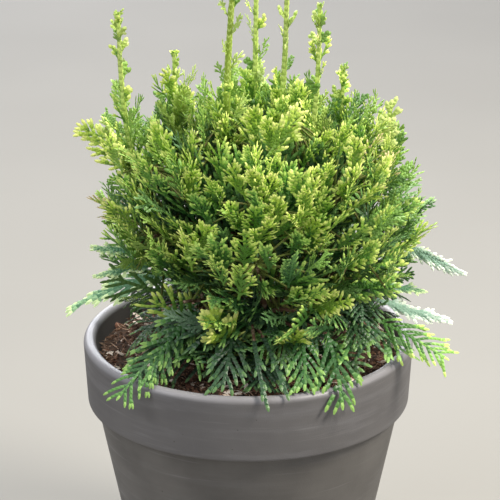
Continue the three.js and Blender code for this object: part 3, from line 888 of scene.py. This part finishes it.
def make_limbs():
    """The trunk, leaders and boughs with their bark. Returns each one's centre line."""
    brown = bark_material("young_conifer_bark", "#3d2a20", "#7d5b45", "#9a8672", 290.0)
    green = bark_material("green_shoot_rind", "#7f9a35", "#a3b84c", "#8aa040")
    lines = {n: centre_line(n, 22) for n in nodes_named("trunk", "leader")}
    lines.update({n: centre_line(n, 6) for n in nodes_named("bough")})
    trunk = joined_limbs("trunk_bark", [lines["trunk"]], TRUNK, brown)
    settle(trunk, "bark", "trunk")
    leaders = nodes_named("leader")
    slim = [(points, radii * LEADER["slimmed"]) for points, radii in (lines[n] for n in leaders)]
    stems = joined_limbs("leader_stems", slim, LEADER_STEM, green)
    settle(stems, "green_stem", *leaders)
    boughs = nodes_named("bough")
    wood = joined_limbs("bough_bark", [lines[n] for n in boughs], BOUGH, brown)
    settle(wood, "bark", *boughs)
    return lines, brown


# ---------------------------------------------------------------- the branching rule


def run_of_scales(start, heading, length, curl, slope, kind):
    """Scales along one branchlet in the spray's plane. A row is (along, aside, above, heading,
    slope, width, share of the way to the tip, scales left before the tip)."""
    step = kind["pitch"]
    count = max(2, int(round(length / step)))
    number = np.arange(count)
    share = number / (count - 1)
    turn = heading + curl * share
    along = start[0] + np.concatenate([[0], np.cumsum(np.cos(turn[:-1]))]) * step
    aside = start[1] + np.concatenate([[0], np.cumsum(np.sin(turn[:-1]))]) * step
    run = number * step
    sag = kind["sag"] if heading else 0.0
    above = start[2] + slope * run + sag * run**2 / 2
    width = kind["width"] * (1 + kind["club"] * (share - 0.4))
    left = (count - 1 - number).astype(float)
    return np.stack([along, aside, above, turn, slope + sag * run, width, share, left], 1)


def spray_pattern(kind, rng):
    """One flat spray: an axis, alternate side branches, and branchlets on the longer of them."""
    rule, length = BRANCHING, kind["length"]
    axis = run_of_scales((0, 0, 0), 0.0, length, math.radians(rng.uniform(*rule["axis_curl"])), 0.0, kind)
    rows = [axis]
    mark = kind["first"] * length
    side = rng.choice((-1, 1))
    while mark < length - rule["bare_tip"]:
        share = mark / length
        full = min(1.0, 0.5 + share / 0.4) * (1 - share) ** kind["fullness"]
        reach = kind["side"] * length * full * rng.uniform(*rule["reach"])
        if reach > rule["shortest"] and rng.random() > rule["missing"]:
            on_axis = axis[min(len(axis) - 1, int(mark / kind["pitch"]))]
            angle = math.radians(kind["angle"] * rng.uniform(*rule["angle"])) * side
            slope = rng.uniform(-kind["lift"], kind["lift"])
            curl = math.radians(kind["curl"] * rng.uniform(*rule["curl"])) * side
            branch = run_of_scales(on_axis[:3], on_axis[3] + angle, reach, curl, slope, kind)
            rows.append(branch)
            rows += sub_branchlets(branch, reach, side, kind, rng)
        side = -side
        mark += kind["node_gap"] * rng.uniform(*rule["gap"])
    return np.concatenate(rows)


def sub_branchlets(branch, reach, side, kind, rng):
    """Short alternate branchlets along a side branch."""
    rule = BRANCHING
    rows = []
    mark = kind["sub_first"] * rng.uniform(*rule["sub_first"])
    while mark < reach - rule["sub_bare_tip"]:
        on_branch = branch[min(len(branch) - 1, int(mark / kind["pitch"]))]
        room = 0.7 * (reach - mark) + rule["sub_shortest"]
        length = min(kind["sub_length"], room) * rng.uniform(*rule["sub_length"])
        angle = math.radians(kind["sub_angle"]) * side
        slope = on_branch[4] + rng.uniform(-kind["lift"], kind["lift"])
        curl = math.radians(kind["curl"]) * 0.5 * side
        rows.append(run_of_scales(on_branch[:3], on_branch[3] + angle, length, curl, slope, kind))
        side = -side
        mark += kind["sub_gap"] * rng.uniform(*rule["sub_gap"])
    return rows


def placed_spray(pattern, name, tip, chord, facing, bend, cup, size, palette):
    """A spray pattern bent and set in space, with its tip at `tip`. `facing` is the way its
    flat side looks; a positive bend curves it that way. Returns its foot and its scale rows."""
    chord = unit(chord)
    facing = unit(facing - chord * np.dot(facing, chord))
    across = np.cross(chord, facing)
    turn = math.radians(bend)
    start = math.cos(turn / 2) * chord - math.sin(turn / 2) * facing
    up = math.sin(turn / 2) * chord + math.cos(turn / 2) * facing

    along, aside, above, heading, slope, width, share, left = pattern.T
    kind = KINDS[name]
    full = kind["length"] * size
    reach, sideways = along * size, aside * size
    theta = turn / full * reach
    small = np.where(np.abs(theta) < 1e-6, 1e-6, theta)
    lift = above * size - cup * sideways**2
    tangent = np.cos(theta)[:, None] * start + np.sin(theta)[:, None] * up
    normal = np.cos(theta)[:, None] * up - np.sin(theta)[:, None] * start
    places = (
        (reach * np.sin(small) / small)[:, None] * start
        + (reach * (1 - np.cos(small)) / small)[:, None] * up
        + sideways[:, None] * across + lift[:, None] * normal
    )
    foot = tip - full / turn * (math.sin(turn) * start + (1 - math.cos(turn)) * up)

    slope = slope - 2 * cup * sideways * np.sin(heading)
    forward = unit(
        np.cos(heading)[:, None] * tangent + np.sin(heading)[:, None] * across + slope[:, None] * normal
    )
    right = unit(np.cross(forward, normal))
    last = left < 0.5
    reached = along / kind["length"] + 0.5 * share
    stage = np.where((reached > 0.9) | (left < 1.5), GROWN, OLD)
    stage = np.where(last, np.where(reached < 0.62, GROWN, YOUNG), stage)
    return foot, dict(
        place=rest_on_pot(foot + places), right=right, forward=forward, above=np.cross(right, forward),
        width=width * size, pitch=np.full(len(pattern), kind["pitch"] * size), tip=last.astype(int),
        tone=tone_of(palette, stage),
    )


def tone_of(palette, stage):
    """The number of a palette's colour at a stage, among all the leaf materials."""
    return PALETTE_NAMES.index(palette) * len(STAGES) + stage


def rest_on_pot(places):
    """Lifts what would pass through the compost or the lip so that it lies on them."""
    reach = np.hypot(places[:, 0], places[:, 1])
    wall = RIM_RADIUS - POT["lip_thickness"]
    ramp = np.clip((reach - wall + REST["ramp"]) / REST["ramp"], 0, 1)
    rise = (REST["below_lip"] + REST["over_lip"]) * ramp**2 * (3 - 2 * ramp)
    sunk = RIM_LEVEL - REST["below_lip"] + rise - places[:, 2]
    piled = REST["pile"] * np.exp(-np.maximum(sunk, 0) / REST["settling"])
    lies = (sunk > 0) & (reach <= RIM_RADIUS + REST["over_lip"])
    places[:, 2] = np.where(lies, places[:, 2] + sunk + piled, places[:, 2])
    return places


def joined_scales(batches):
    """The scale rows of many sprays as one set."""
    return {key: np.concatenate([b[key] for b in batches]) for key in batches[0]}


def as_euler(right, forward, above):
    """XYZ Euler angles of the frames whose axes are right, forward and above."""
    y = -np.arcsin(np.clip(right[:, 2], -1, 1))
    x = np.arctan2(forward[:, 2], above[:, 2])
    z = np.arctan2(right[:, 1], right[:, 0])
    return np.stack([x, y, z], 1)


# ---------------------------------------------------------------- scale leaves


def scale_shape(name, ring, peak):
    """A flat closed shape: a ring in the leaf's plane, a ridge point above and one below. The
    faces below carry the attribute `under`. One unit is the leaf's width and its pitch."""
    top, bottom = len(ring), len(ring) + 1
    points = [(x, y, 0.0) for x, y in ring] + [(0, peak, 0.5), (0, peak, -0.5)]
    around = [(i, (i + 1) % len(ring)) for i in range(len(ring))]
    faces = [(top, i, k) for i, k in around] + [(bottom, k, i) for i, k in around]
    shape = mesh_object(name, points, faces)
    under = [0] * len(ring) + [1] * len(ring)
    shape.data.attributes.new("under", "INT", "FACE").data.foreach_set("value", under)
    shape.hide_render = True
    return shape


def scale_pair():
    """A pair of scale leaves pressed round a branchlet, whose points stand out a little."""
    return scale_shape(
        "scale_pair", [(-0.4, -0.15), (0.4, -0.15), (0.51, 0.88), (-0.51, 0.88)], 0.45
    )


def scale_tip():
    """The narrowing end of a branchlet: a closed bud between two scales."""
    return scale_shape(
        "scale_tip",
        [(-0.36, -0.15), (0.36, -0.15), (0.46, 0.55), (0.17, 1.2), (-0.17, 1.2), (-0.46, 0.55)], 0.5,
    )


def leaf_materials():
    """Living scale leaves: waxy, so that they shine softly, and in plain colours, one for each
    palette and stage of growth."""
    made = []
    for palette, codes in PALETTES.items():
        for stage, code in zip(STAGES, codes):
            name = f"scale_leaf_{palette}_{stage}"
            material, _, shader = new_material(name, Roughness=0.42, IOR=1.45)
            shader.inputs["Base Color"].default_value = linear(code)
            made.append(material)
    return made


def leaf_tree(name, materials, tones):
    """Geometry Nodes: a scale leaf on every point, turned and sized by the point's attributes,
    then made real and given the colour of its spray. Faces marked `under` take the last stage."""
    tree, given = new_geometry_tree(
        name, ("Scale pair", "Object", None), ("Scale tip", "Object", None), ("Size", "Float", 1.0)
    )
    read = {}
    for label, kind in (
        ("turn", "FLOAT_VECTOR"), ("size", "FLOAT_VECTOR"), ("ends", "INT"), ("tone", "INT"), ("under", "INT")
    ):
        read[label] = add(
            tree, "GeometryNodeInputNamedAttribute", {"Name": label}, data_type=kind
        ).outputs["Attribute"]
    size = add(
        tree, "ShaderNodeVectorMath", {0: read["size"], "Scale": given["Size"]}, operation="SCALE"
    ).outputs["Vector"]
    points = add(tree, "GeometryNodeMeshToPoints", {"Mesh": given["Geometry"]}).outputs["Points"]
    joined = add(tree, "GeometryNodeJoinGeometry")
    for label, ends in (("Scale tip", 1), ("Scale pair", 0)):
        shape = add(tree, "GeometryNodeObjectInfo", {"Object": given[label], "As Instance": True})
        chosen = add(
            tree, "FunctionNodeCompare", {2: read["ends"], 3: ends}, data_type="INT", operation="EQUAL"
        )
        copies = add(
            tree, "GeometryNodeInstanceOnPoints",
            {
                "Points": points, "Selection": chosen.outputs["Result"],
                "Instance": shape.outputs["Geometry"], "Rotation": read["turn"], "Scale": size,
            },
        )
        tree.links.new(copies.outputs["Instances"], joined.inputs["Geometry"])
    real = add(tree, "GeometryNodeRealizeInstances", {"Geometry": joined.outputs["Geometry"]})
    stages = float(len(STAGES))
    share = add(tree, "ShaderNodeMath", {0: read["tone"], 1: stages}, operation="DIVIDE")
    palette = add(tree, "ShaderNodeMath", {0: share.outputs["Value"]}, operation="FLOOR")
    beneath = add(
        tree, "ShaderNodeMath", {0: palette.outputs["Value"], 1: stages, 2: float(UNDER)},
        operation="MULTIPLY_ADD",
    )
    tone = add(
        tree, "GeometryNodeSwitch",
        {"Switch": read["under"], "False": read["tone"], "True": beneath.outputs["Value"]},
        input_type="INT",
    ).outputs["Output"]
    shown = real.outputs["Geometry"]
    for number in tones:
        chosen = add(
            tree, "FunctionNodeCompare", {2: tone, 3: int(number)}, data_type="INT", operation="EQUAL"
        )
        shown = add(
            tree, "GeometryNodeSetMaterial",
            {"Geometry": shown, "Selection": chosen.outputs["Result"], "Material": materials[number]},
        ).outputs["Geometry"]
    add(tree, "NodeGroupOutput", {"Geometry": shown})
    return tree


def make_leaves(name, scales, materials, templates, slot, nodes):
    """One joined piece of scale leaves, from rows of places, frames, sizes and tones."""
    carrier = mesh_object(name + "_points", scales["place"], [])
    size = np.stack([scales["width"], scales["pitch"], scales["width"] * SCALE_THICKNESS], 1)
    turn = as_euler(scales["right"], scales["forward"], scales["above"])
    for label, kind, field, values in (
        ("turn", "FLOAT_VECTOR", "vector", turn), ("size", "FLOAT_VECTOR", "vector", size),
        ("ends", "INT", "value", scales["tip"]), ("tone", "INT", "value", scales["tone"]),
    ):
        carrier.data.attributes.new(label, kind, "POINT").data.foreach_set(field, np.ravel(values))
    tones = set(scales["tone"].tolist())
    tones |= {tone // len(STAGES) * len(STAGES) + UNDER for tone in tones}
    modifier = carrier.modifiers.new("leaves", "NODES")
    modifier.node_group = leaf_tree(name + "_tree", materials, sorted(tones))
    set_inputs(modifier, {"Scale pair": templates[0], "Scale tip": templates[1]})
    piece = applied(carrier, name)
    for label in ("turn", "size", "ends", "tone", "under"):
        if label in piece.data.attributes:
            piece.data.attributes.remove(piece.data.attributes[label])
    settle(piece, slot, *nodes)


# ---------------------------------------------------------------- the crown


def crown_centre():
    """The middle of the box round the middle tier."""
    boxes = np.array([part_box(n) for n in nodes_named("foliage_middle")]) / MM
    return (boxes[:, 0].min(0) + boxes[:, 1].max(0)) / 2


def tips_on_mass(node, centre, gap, lowest, rng):
    """Places spread over the outward side of a mass, at least `gap` apart, and the way out."""
    triangles = node_triangles(node)
    first, second = triangles[:, 1] - triangles[:, 0], triangles[:, 2] - triangles[:, 0]
    normals = np.cross(first, second)
    areas = np.linalg.norm(normals, axis=1)
    tried = GROWTH["places_tried"]
    picks = rng.choice(len(triangles), tried, p=areas / areas.sum())
    a, b = rng.random((2, tried, 1))
    past_edge = (a + b) > 1
    a, b = np.where(past_edge, 1 - a, a), np.where(past_edge, 1 - b, b)
    places = triangles[picks, 0] + a * first[picks] + b * second[picks]
    ways = unit(normals[picks])
    outward = unit(places - centre)
    open_side = ((ways * outward).sum(1) > GROWTH["open_side"]) & (ways[:, 2] > lowest)
    kept = []
    for i in np.flatnonzero(open_side):
        if all(np.linalg.norm(places[i] - places[j]) > gap for j in kept):
            kept.append(i)
    return places[kept], outward[kept]


def pick(weights, rng):
    """One of the names, drawn by their weights."""
    names = list(weights)
    chances = np.array([weights[n] for n in names])
    return names[rng.choice(len(names), p=chances / chances.sum())]


def kept_down(tier, place, stems):
    """How far a spray stays below its place, so that a leader behind it shows."""
    if tier not in PARTING["tiers"]:
        return 0.0
    for stem in stems:
        level = stem[np.abs(stem[:, 2] - place[2]).argmin()]
        if abs(place[0] - level[0]) < PARTING["aside"] and 0 < level[1] - place[1] < PARTING["ahead"]:
            return PARTING["drop"]
    return 0.0


def grow_mass(tier, node, centre, stems, patterns, rng):
    """The sprays of one mass of a tier, each with a darker filler spray behind it more often
    than not. Returns the scale rows and each spray's foot."""
    rule = TIERS[tier]
    batches, feet = [], []
    places, outward = tips_on_mass(node, centre, rule["gap"], rule["lowest"], rng)
    for place, out in zip(places, outward):
        leads = rng.random() < GROWTH["leading"]
        place = place + out * rng.uniform(*GROWTH["lead_out" if leads else "keep_in"])
        place = place - kept_down(tier, place, stems) * UPWARD
        level_out = unit(out * np.array(GROWTH["levelled"]))
        aside = np.cross(UPWARD, level_out)
        for layer in ("outer", "inner"):
            if layer == "inner" and rng.random() > rule["filler"]:
                continue
            chord = unit(
                rule["out"] * level_out + rule["up"] * UPWARD
                + rng.normal(0, rule["sway"]) * aside + rng.normal(0, GROWTH["stray"], 3)
            )
            name = pick(rule["kinds"], rng) if layer == "outer" else "filler"
            lying = GROWTH["lying"][0] * UPWARD + GROWTH["lying"][1] * level_out
            flat_side = level_out if rule["up"] > 0 else lying
            facing = flat_side + rng.normal(0, GROWTH["flat_stray"], 3)
            size = rng.uniform(*rule["size"]) * (GROWTH["lead_size"] if leads else 1.0)
            palette = pick(SPRAY_COLOURS[tier if layer == "outer" else "inner"], rng)
            depth = 0.0 if layer == "outer" else rng.uniform(*GROWTH["filler_depth"])
            foot, scales = placed_spray(
                patterns[name][rng.integers(PATTERNS_PER_KIND)], name, place - out * depth, chord,
                facing, rule["bend"] * rng.uniform(*GROWTH["bend"]), rng.uniform(*GROWTH["cup"]), size,
                palette,
            )
            batches.append(scales)
            feet.append(foot)
    return batches, feet


def make_crown(lines):
    """All the sprays, in joined pieces by tier, with one piece for the leaders and the single
    sprays. Returns the feet of the sprays of each mass."""
    rng = np.random.default_rng(SEED)
    centre = crown_centre()
    patterns = {n: [spray_pattern(k, rng) for _ in range(PATTERNS_PER_KIND)] for n, k in KINDS.items()}
    materials = leaf_materials()
    templates = (scale_pair(), scale_tip())
    stems = [lines[n][0] for n in nodes_named("trunk", "leader")]
    feet = {}
    for tier, rule in TIERS.items():
        masses = nodes_named("foliage_" + tier)
        middle = np.array([*centre[:2], SKIRT_HEART]) if tier == "skirt" else centre
        for part in range(rule["pieces"]):
            share = masses[part :: rule["pieces"]]
            batches = []
            for node in share:
                own = np.random.default_rng([SEED, len(feet)])
                grown, feet[node] = grow_mass(tier, node, middle, stems, patterns, own)
                batches += grown
            name = f"leaves_{tier}_{part + 1}"
            make_leaves(name, joined_scales(batches), materials, templates, rule["slot"], share)

    batches = []
    for label, rule in LONE_SPRAYS.items():
        node = "foliage_spray_" + label
        foot, scales = grow_lone_spray(node, *rule, patterns, rng)
        batches.append(scales)
        feet[node] = [foot]
    for number, (name, palette, bend, tip, root, facing) in enumerate(LOOSE_SPRAYS):
        chord = np.subtract(tip, root).astype(float)
        foot, scales = placed_spray(
            patterns[name][rng.integers(PATTERNS_PER_KIND)], name, np.array(tip, float), chord,
            np.array(facing), bend, 0.003, np.linalg.norm(chord) / KINDS[name]["length"], palette,
        )
        batches.append(scales)
        feet[f"loose_{number}"] = [foot]
    for name in nodes_named("trunk", "leader"):
        batches += grow_leader(lines[name], BARE_TOPS[name], patterns, rng)
    others = nodes_named("foliage_spray", "foliage_tuft")
    make_leaves("leaves_leaders", joined_scales(batches), materials, templates, "foliage_young", others)
    for shape in templates:
        bpy.data.objects.remove(shape)
    return feet


def grow_lone_spray(node, name, palette, bend, stretch, facing, patterns, rng):
    """A single long spray from inside the crown to the tip of its own solid."""
    points = node_points(node)
    tip = points[np.hypot(points[:, 0], points[:, 1]).argmax()]
    spread = points - points.mean(0)
    chord = np.linalg.svd(spread, full_matrices=False)[2][0]
    chord = chord * np.sign(np.dot(chord, tip - points.mean(0)))
    length = np.ptp(spread @ chord) * stretch
    pattern = patterns[name][rng.integers(PATTERNS_PER_KIND)]
    facing = np.array(facing) + rng.normal(0, 0.1, 3)
    size = length / KINDS[name]["length"]
    return placed_spray(pattern, name, tip, chord, facing, bend, 0.004, size, palette)


def pressed_scales(points, radii, tangents, ways):
    """Pairs of scales pressed on opposite sides of a leader, each pair turned from the last."""
    batches = []
    for i in range(len(points)):
        for out in ways[i]:
            forward = unit(tangents[i] + 0.1 * out)
            right = unit(np.cross(forward, out))
            place = points[i] + out * radii[i] * LEADER["scale_sunk"]
            batches.append(
                dict(
                    place=place[None], right=right[None], forward=forward[None],
                    above=np.cross(right, forward)[None],
                    width=np.array([radii[i] * LEADER["scale_girth"] + LEADER["scale_width"]]),
                    pitch=np.array([LEADER["scale_pitch"]]), tip=np.array([0]),
                    tone=np.array([tone_of("rind", GROWN)]),
                )
            )
    return batches


def grow_leader(line, bare, patterns, rng):
    """Pressed scales up a leader, short shoots near its tip and fans round its lower part."""
    points, radii = resampled(*line, LEADER["step"])
    tangents, across, over = frames_along(points)
    below_tip = np.cumsum(np.full(len(points), LEADER["step"]))[::-1]

    def way(i, turn):
        """The way out from point i of the leader, at a turn round it."""
        return math.cos(turn) * across[i] + math.sin(turn) * over[i]

    scaly = np.flatnonzero(below_tip < bare + LEADER["scales_below"])
    ways = [[way(i, (half + i % 2) * math.pi / 2) for half in (0, 2)] for i in scaly]
    batches = pressed_scales(points[scaly], radii[scaly], tangents[scaly], ways)
    turn = rng.uniform(0, 6)
    at = 1.0
    while at < bare + LEADER["shoots_below"]:
        i = int(np.abs(below_tip - at).argmin())
        turn += GOLDEN_ANGLE
        out = way(i, turn)
        if at < LEADER["close"] or (at < bare and rng.random() < LEADER["shoot_chance"]):
            name, size = "shoot", np.interp(at, *LEADER["shoot_size"])
        elif at < bare:
            name, size = "spire", LEADER["spire_size"]
        else:
            name = "fan" if rng.random() < LEADER["fan_chance"] else "spire"
            size = np.interp(at - bare, *LEADER["fan_size"])
        size *= rng.uniform(*LEADER["size"])
        chord = unit(tangents[i] + out * rng.uniform(*LEADER["lean"]))
        facing = rng.normal(0, 1, 3) if at < bare else out + rng.normal(0, 0.4, 3)
        _, scales = placed_spray(
            patterns[name][rng.integers(PATTERNS_PER_KIND)], name,
            points[i] + chord * KINDS[name]["length"] * size, chord, facing, LEADER["bend"],
            LEADER["cup"], size, pick(LEADER_COLOURS, rng),
        )
        batches.append(scales)
        gap = np.interp(at, *LEADER["gap"]) if at < bare else LEADER["low_gap"]
        at += gap * rng.uniform(0.5, 1.5)
    return batches


def twig_line(start, end, lift):
    """A twig that leaves its parent and curves up and over to its end."""
    middle = (start + end) / 2 + lift * UPWARD
    share = np.linspace(0, 1, 6)[:, None]
    return (1 - share) ** 2 * start + 2 * share * (1 - share) * middle + share**2 * end


def make_twigs(lines, feet, material):
    """A bough from the nearest limb into every mass, and a twig to the foot of every spray."""
    limb_points = np.concatenate([points for points, _ in lines.values()])
    limbs, twigs = [], []
    for node, ends in feet.items():
        if not ends:
            continue
        heart = node_points(node).mean(0) - HEART_DROP * UPWARD if len(ends) > 1 else ends[0]
        below = limb_points[limb_points[:, 2] < heart[2] - INNER_BOUGH["lift"]]
        start = below[np.linalg.norm(below - heart, axis=1).argmin()]
        spine = twig_line(start, heart, INNER_BOUGH["lift"])
        limbs.append((spine, np.linspace(*INNER_BOUGH["radii"], len(spine))))
        for end in ends:
            near = spine[1:][np.linalg.norm(spine[1:] - end, axis=1).argmin()]
            if np.linalg.norm(near - end) > TWIG["shortest"]:
                line = twig_line(near, end, TWIG["lift"])
                twigs.append((line, np.linspace(*TWIG["radii"], len(line))))
    rind = bark_material("twig_rind", "#4a5626", "#7a883a", "#5c5230")
    settle(joined_limbs("inner_boughs", limbs, INNER_BOUGH, material), "bark")
    settle(joined_limbs("twigs", twigs, TWIG, rind), "bark")


# ---------------------------------------------------------------- put it together

make_camera()
make_studio()
make_pot()
bed = make_compost()
make_soil_bits(bed)
settle(bed, "compost", "compost")
limb_lines, bark = make_limbs()
spray_feet = make_crown(limb_lines)
make_twigs(limb_lines, spray_feet, bark)
